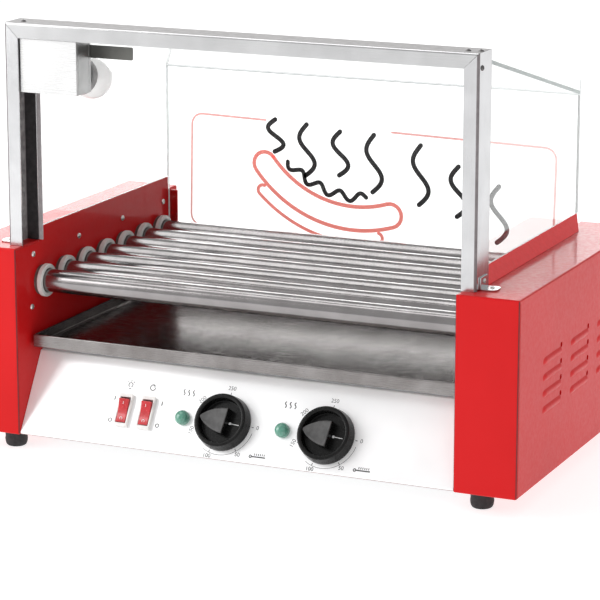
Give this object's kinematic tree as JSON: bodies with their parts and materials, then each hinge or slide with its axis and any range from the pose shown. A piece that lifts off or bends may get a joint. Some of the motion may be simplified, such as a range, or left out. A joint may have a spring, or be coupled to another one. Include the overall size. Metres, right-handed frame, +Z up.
{
  "type": "hot dog roller grill",
  "caption": "Counter-top roller grill: driven steel rollers over a slide-out drip tray, with a glass hood, heat knobs and rocker switches.",
  "frame": {"origin": "on the counter, under the middle of the grill", "axes": "+X along the rollers to the operator's right, +Y from the control panel to the back, +Z up"},
  "size_m": [0.58, 0.3616, 0.424],
  "materials": {
    "red_paint": "satin powder coat",
    "black_rubber": "matt",
    "panel_steel": "polished",
    "zinc_steel": "dull zinc",
    "tray_steel": "brushed",
    "roller_steel": "ground and polished",
    "white_collar": "satin",
    "motor_metal": "cast",
    "thermostat_body": "matt",
    "knob_black": "gloss",
    "green_lens": "gloss",
    "switch_white": "gloss",
    "rocker_red": "gloss",
    "frame_steel": "polished",
    "clear_glass": "clear",
    "lamp_holder_grey": "satin",
    "lamp_white": "opal"
  },
  "bodies": {
    "chassis": {"back_glass": "clear_glass", "cable_gland": "black_rubber", "chassis_pan": "zinc_steel", "control_panel": "panel_steel", "drive_chain": "zinc_steel", "foot_front_left": "black_rubber", "foot_front_right": "black_rubber", "foot_rear_left": "black_rubber", "foot_rear_right": "black_rubber", "front_heat_lamp": "green_lens", "front_heaters": "zinc_steel", "front_thermostat": "thermostat_body", "gear_motor": "motor_metal", "hood_left_post": "frame_steel", "hood_right_post": "frame_steel", "hood_top_rail": "frame_steel", "lamp_box": "panel_steel", "lamp_globe": "lamp_white", "lamp_holder": "lamp_holder_grey", "left_bearing_plate": "red_paint", "left_bush_1": "white_collar", "left_bush_2": "white_collar", "left_bush_3": "white_collar", "left_bush_4": "white_collar", "left_bush_5": "white_collar", "left_bush_6": "white_collar", "left_bush_7": "white_collar", "left_casing": "red_paint", "left_glass": "clear_glass", "light_switch_housing": "switch_white", "rear_heat_lamp": "green_lens", "rear_heaters": "zinc_steel", "rear_thermostat": "thermostat_body", "right_bearing_plate": "red_paint", "right_bush_strip": "white_collar", "right_casing": "red_paint", "right_glass": "clear_glass", "top_glass": "clear_glass", "tray_shelf": "zinc_steel", "turn_switch_housing": "switch_white"},
    "roller_set_1": {"roller_1": "roller_steel", "sprocket_1": "zinc_steel"},
    "roller_set_2": {"roller_2": "roller_steel", "sprocket_2": "zinc_steel"},
    "roller_set_3": {"roller_3": "roller_steel", "sprocket_3": "zinc_steel"},
    "roller_set_4": {"roller_4": "roller_steel", "sprocket_4": "zinc_steel"},
    "roller_set_5": {"roller_5": "roller_steel", "sprocket_5": "zinc_steel"},
    "roller_set_6": {"roller_6": "roller_steel", "sprocket_6": "zinc_steel"},
    "roller_set_7": {"roller_7": "roller_steel", "sprocket_7": "zinc_steel"},
    "motor_output": {"motor_sprocket": "zinc_steel"},
    "tray": {"drip_tray": "tray_steel"},
    "front_knob": {"front_heat_knob": "knob_black"},
    "rear_knob": {"rear_heat_knob": "knob_black"},
    "light_switch_rocker": {"light_rocker": "rocker_red"},
    "turn_switch_rocker": {"turn_rocker": "rocker_red"}
  },
  "joints": [
    {"name": "roller_1_spin", "type": "hinge", "parent": "chassis", "child": "roller_set_1", "pos_m": [0, -0.125, 0.1654], "axis": [1, 0, 0], "continuous": true},
    {"name": "roller_2_spin", "type": "hinge", "parent": "chassis", "child": "roller_set_2", "pos_m": [0, -0.0828, 0.1654], "axis": [1, 0, 0], "continuous": true},
    {"name": "roller_3_spin", "type": "hinge", "parent": "chassis", "child": "roller_set_3", "pos_m": [0, -0.0406, 0.1654], "axis": [1, 0, 0], "continuous": true},
    {"name": "roller_4_spin", "type": "hinge", "parent": "chassis", "child": "roller_set_4", "pos_m": [0, 0.0016, 0.1654], "axis": [1, 0, 0], "continuous": true},
    {"name": "roller_5_spin", "type": "hinge", "parent": "chassis", "child": "roller_set_5", "pos_m": [0, 0.0438, 0.1654], "axis": [1, 0, 0], "continuous": true},
    {"name": "roller_6_spin", "type": "hinge", "parent": "chassis", "child": "roller_set_6", "pos_m": [0, 0.086, 0.1654], "axis": [1, 0, 0], "continuous": true},
    {"name": "roller_7_spin", "type": "hinge", "parent": "chassis", "child": "roller_set_7", "pos_m": [0, 0.1282, 0.1654], "axis": [1, 0, 0], "continuous": true},
    {"name": "motor_spin", "type": "hinge", "parent": "chassis", "child": "motor_output", "pos_m": [0, 0.0016, 0.095], "axis": [1, 0, 0], "continuous": true},
    {"name": "tray_slide", "type": "slide", "parent": "chassis", "child": "tray", "axis": [0, -1, 0], "range_m": [0, 0.25]},
    {"name": "front_knob_turn", "type": "hinge", "parent": "chassis", "child": "front_knob", "pos_m": [-0.0135, -0.15569, 0.05114], "axis": [0, 0.8572, -0.515], "range_deg": [0, 275]},
    {"name": "rear_knob_turn", "type": "hinge", "parent": "chassis", "child": "rear_knob", "pos_m": [0.094, -0.15569, 0.05114], "axis": [0, 0.8572, -0.515], "range_deg": [0, 275]},
    {"name": "light_rocker_tip", "type": "hinge", "parent": "chassis", "child": "light_switch_rocker", "pos_m": [-0.121, -0.15483, 0.05063], "axis": [-1, 0, 0], "range_deg": [0, 16]},
    {"name": "turn_rocker_tip", "type": "hinge", "parent": "chassis", "child": "turn_switch_rocker", "pos_m": [-0.0967, -0.15483, 0.05063], "axis": [-1, 0, 0], "range_deg": [0, 16]}
  ],
  "couplings": [
    {"joint": "roller_2_spin", "follows": "roller_1_spin", "ratio": 1},
    {"joint": "roller_3_spin", "follows": "roller_1_spin", "ratio": 1},
    {"joint": "roller_4_spin", "follows": "roller_1_spin", "ratio": 1},
    {"joint": "roller_5_spin", "follows": "roller_1_spin", "ratio": 1},
    {"joint": "roller_6_spin", "follows": "roller_1_spin", "ratio": 1},
    {"joint": "roller_7_spin", "follows": "roller_1_spin", "ratio": 1},
    {"joint": "motor_spin", "follows": "roller_1_spin", "ratio": 1}
  ]
}
